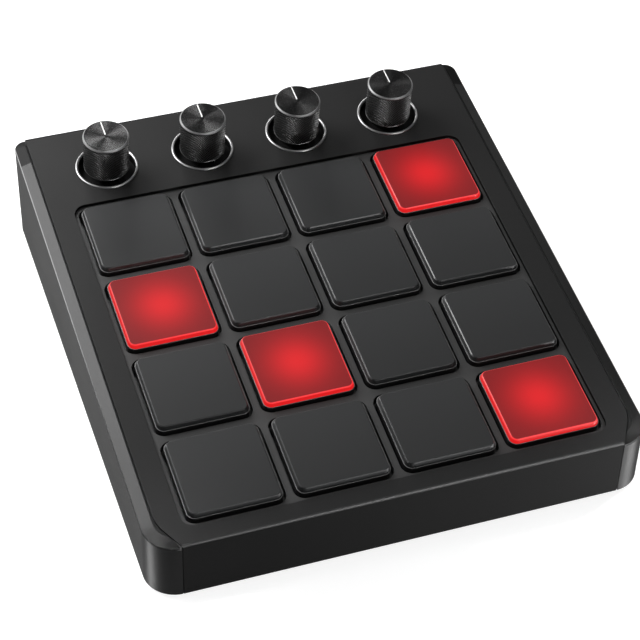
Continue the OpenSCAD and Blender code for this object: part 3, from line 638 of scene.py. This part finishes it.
def stripPoints(values, side):
    # four corners of the strip's section carried up the front, along the panel and down the rear
    path = seamPath(values)
    step = np.gradient(path, axis=0)
    across = np.stack([step[:, 1], -step[:, 0]], axis=1) / np.linalg.norm(step, axis=1, keepdims=True)
    level = panel["frontTop"] + path[:, 1] * math.tan(tilt)
    top, bottom = values["top"], values["top"] - values["deep"]
    rows = np.stack([np.column_stack([path + across * share * values["thick"], level + down])
                     for share, down in ((0.5, top), (-0.5, top), (-0.5, bottom), (0.5, bottom))], axis=1)
    feet = rows[[0, -1]].copy()
    feet[:, 2:, :2] = feet[:, 1::-1, :2]
    feet[:, 2:, 1] += np.array([1.0, -1.0])[:, None] * values["deep"]
    feet[..., 2] = values["low"]
    ends = feet.mean(axis=1, keepdims=True).repeat(4, axis=1)
    rows = np.concatenate([ends[:1], feet[:1], rows, feet[1:], ends[1:]])
    rows[..., 1] -= panel["depth"] / 2
    rows[..., 0] *= side
    return rows / 1000


def seamShadeFinish(name, values):
    # dull black with a fine grain
    g = Finish(name)
    speck = g.noise(values["grain"], detail=2.0)
    tone = g.mottle(speck, values["tone"], 0.3)
    return g.done(Base_Color=tone, Roughness=0.75 + (speck - 0.5) * 0.1, Normal=g.bump(speck, 0.3, 0.02))


seamShadeBlack = seamShadeFinish("seamShadeBlack", seamShadeStrip)
# dark strips put where the seams hold only shade
for sideName, side in (("left", -1), ("right", 1)):
    strip = gridSurface("seamStrip_" + sideName, stripPoints(seamShadeStrip, side))
    addPiece(strip, seamShadeBlack, "root", "foot_rubber")
print("seams filled")

# the mat's rings give way under a pressed pad; here each is a piece of its own on the mat's sheet
springRing = {"sheetLow": -8.65, "sheetTop": -7.95, "top": -5.25, "size": 29.8, "wall": 2.0, "keep": 0.57}


def ringPoints(values, centre):
    # the wall's section, outside up, over, inside down and back, carried round the pad's square
    outside, inside = values["size"] / 2, values["size"] / 2 - values["wall"]
    low, high = values["sheetTop"], values["top"]
    section = np.array([(outside, low), (outside, high), (inside, high), (inside, low), (outside, low)])
    corners = np.array([(-1, -1), (1, -1), (1, 1), (-1, 1)])
    plan = centre + section[:, :1, None] * corners
    level = np.repeat(section[:, 1:, None], len(corners), axis=1)
    return fromPanel(np.concatenate([plan, level], axis=-1))


def matSheet(values, film):
    # the film below has the sheet's plan: its heights are stretched to the sheet's
    mesh = film.copy()
    mesh.name = "matSheet"
    mesh.materials.clear()
    points = np.empty(len(mesh.vertices) * 3)
    mesh.vertices.foreach_get("co", points)
    points = points.reshape(-1, 3)
    height = (points - fromPanel([0, 0, 0])) @ panelNormal
    share = (height - height.min()) / np.ptp(height)
    level = (values["sheetLow"] + share * (values["sheetTop"] - values["sheetLow"])) / 1000
    points += np.outer(level - height, panelNormal)
    mesh.vertices.foreach_set("co", points.reshape(-1))
    return closeMesh(mesh)


matSilicone = nodes["spring_mat"].data.materials[0]
sheet = matSheet(springRing, nodes["sensor_sheet"].data)
addPiece(sheet, matSilicone, "root", "mat_silicone", "spring_mat")
middle = (padField["count"] - 1) / 2
for (row, column), padName in zip(padPlaces, padNames):
    centre = np.array([column - middle, middle - row]) * padField["pitch"] + (0, padField["middle"])
    ring = gridSurface("springRing_" + padName, ringPoints(springRing, centre))
    piece = addPiece(ring, matSilicone, "root", "mat_silicone")
    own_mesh(piece)
print("mat and its rings made")

# camera: place in mm, its three directions, focal length in pixels of the square image
view = {"place": (-170.7522, -485.7597, 504.1662), "right": (0.94938693, -0.31325137, 0.02319556),
        "down": (-0.20032358, -0.66069909, -0.72342738), "ahead": (0.2419399, 0.68216589, -0.69001071),
        "focal": 2161.274, "image": 640}


def addCamera(values):
    # the three directions are the columns of its turn; focal / image is lens / sensor
    data = bpy.data.cameras.new("view")
    camera = bpy.data.objects.new("view", data)
    bpy.context.scene.collection.objects.link(camera)
    right, down, ahead = (Vector(values[key]).normalized() for key in ("right", "down", "ahead"))
    turn = Matrix((right, -down, -ahead)).transposed().to_4x4()
    camera.matrix_world = Matrix.Translation(Vector(values["place"]) / 1000) @ turn
    data.sensor_width = 36.0
    data.lens = values["focal"] / values["image"] * data.sensor_width
    data.clip_start, data.clip_end = 0.01, 50.0
    bpy.context.scene.camera = camera


addCamera(view)

floorLook = {"size": 12.0, "low": -0.0002, "glow": 0.80, "tone": 0.42, "unseenTone": 0.35}


def addFloor(values):
    # white to the camera, to metal and through glass; plain paper in the light it throws back
    half = values["size"] / 2
    corners = [(-half, -half), (half, -half), (half, half), (-half, half)]
    mesh = bpy.data.meshes.new("floor")
    mesh.from_pydata([(*corner, values["low"]) for corner in corners], [], [(0, 1, 2, 3)])
    floor = bpy.data.objects.new("floor", mesh)
    bpy.context.scene.collection.objects.link(floor)
    g = Finish("floorPaper")
    camera, glossy, through = (g.add("LightPath", {}, out=f"Is {kind} Ray")
                               for kind in ("Camera", "Glossy", "Transmission"))
    seen = camera.run("MAXIMUM", glossy).run("MAXIMUM", through)
    shine = g.mix(seen, grey(0.0), grey(values["glow"]))
    tone = g.mix(seen, grey(values["unseenTone"]), grey(values["tone"]))
    g.done(Base_Color=tone, Roughness=0.9, Specular_IOR_Level=0.0, Emission_Color=shine, Emission_Strength=1.0)
    mesh.materials.append(g.material)


addFloor(floorLook)

sky = {"level": 0.05}


def addSky(values):
    # the same faint white from everywhere
    world = bpy.data.worlds.new("sky")
    bpy.context.scene.world = world
    world.use_nodes = True
    light = world.node_tree.nodes["Background"]
    light.inputs["Color"].default_value = grey(1.0)
    light.inputs["Strength"].default_value = values["level"]


addSky(sky)

# metres and watts; aim is the point looked at, spread the beam in degrees
softboxes = {
    "rearLow": {"place": (0.0, 0.9, 0.32), "size": (0.35, 0.25), "power": 4.0},
    "overhead": {"place": (0.22, 0.05, 0.85), "size": (0.3, 0.3), "power": 1.2},
    "nearLeft": {"place": (-0.26, 0.30, 0.34), "size": (0.3, 0.3), "power": 4.4},
    "leftHigh": {"place": (-0.50, 0.10, 0.50), "size": (0.3, 0.3), "power": 0.8},
    "lowLeft": {"place": (-0.69, 0.68, 0.26), "size": (0.3, 0.4), "power": 1.5},
    "frontRight": {"place": (0.24, -0.66, 0.65), "size": (0.2, 0.2), "power": 1.2},
    "rearRight": {"place": (0.70, 0.60, 0.50), "size": (0.3, 0.3), "power": 1.2},
    "topLeft": {"place": (-0.11, -0.05, 0.235), "size": (0.03, 0.03), "power": 0.006,
                "aim": (-0.088, -0.094, 0.02), "spread": 22},
    "topRight": {"place": (0.222, -0.029, 0.216), "size": (0.03, 0.03), "power": 0.006,
                 "aim": (0.088, -0.094, 0.02), "spread": 22},
    "arcLeft": {"place": (-0.318, -0.097, 0.196), "size": (0.03, 0.03), "power": 0.04},
    "cornerLeft": {"place": (-0.24, -0.088, 0.004), "size": (0.02, 0.005), "power": 0.06,
                   "aim": (-0.076, -0.083, 0.010), "spread": 50},
    "cornerRight": {"place": (0.20, -0.20, 0.004), "size": (0.08, 0.005), "power": 1.4,
                    "aim": (0.0, -0.06, 0.006)},
    "knobFront": {"place": (0.135, -0.39, 0.18), "size": (0.36, 0.08), "power": 0.06,
                  "aim": (0.0, 0.067, 0.055), "spread": 28},
}


def addSoftbox(name, values):
    # a rectangle of light that faces its aim, or else the middle of the case
    data = bpy.data.lights.new(name, "AREA")
    data.shape = "RECTANGLE"
    data.size, data.size_y = values["size"]
    data.energy = values["power"]
    data.spread = math.radians(values.get("spread", 180))
    lamp = bpy.data.objects.new(name, data)
    bpy.context.scene.collection.objects.link(lamp)
    lamp.location = values["place"]
    aim = Vector(values.get("aim", (0, 0, 0.03))) - Vector(values["place"])
    lamp.rotation_euler = aim.to_track_quat("-Z", "Y").to_euler()


for boxName, box in softboxes.items():
    addSoftbox(boxName, box)

bpy.context.scene.view_settings.view_transform = "Standard"
print("camera, floor and light placed")

bpy.context.view_layer.update()
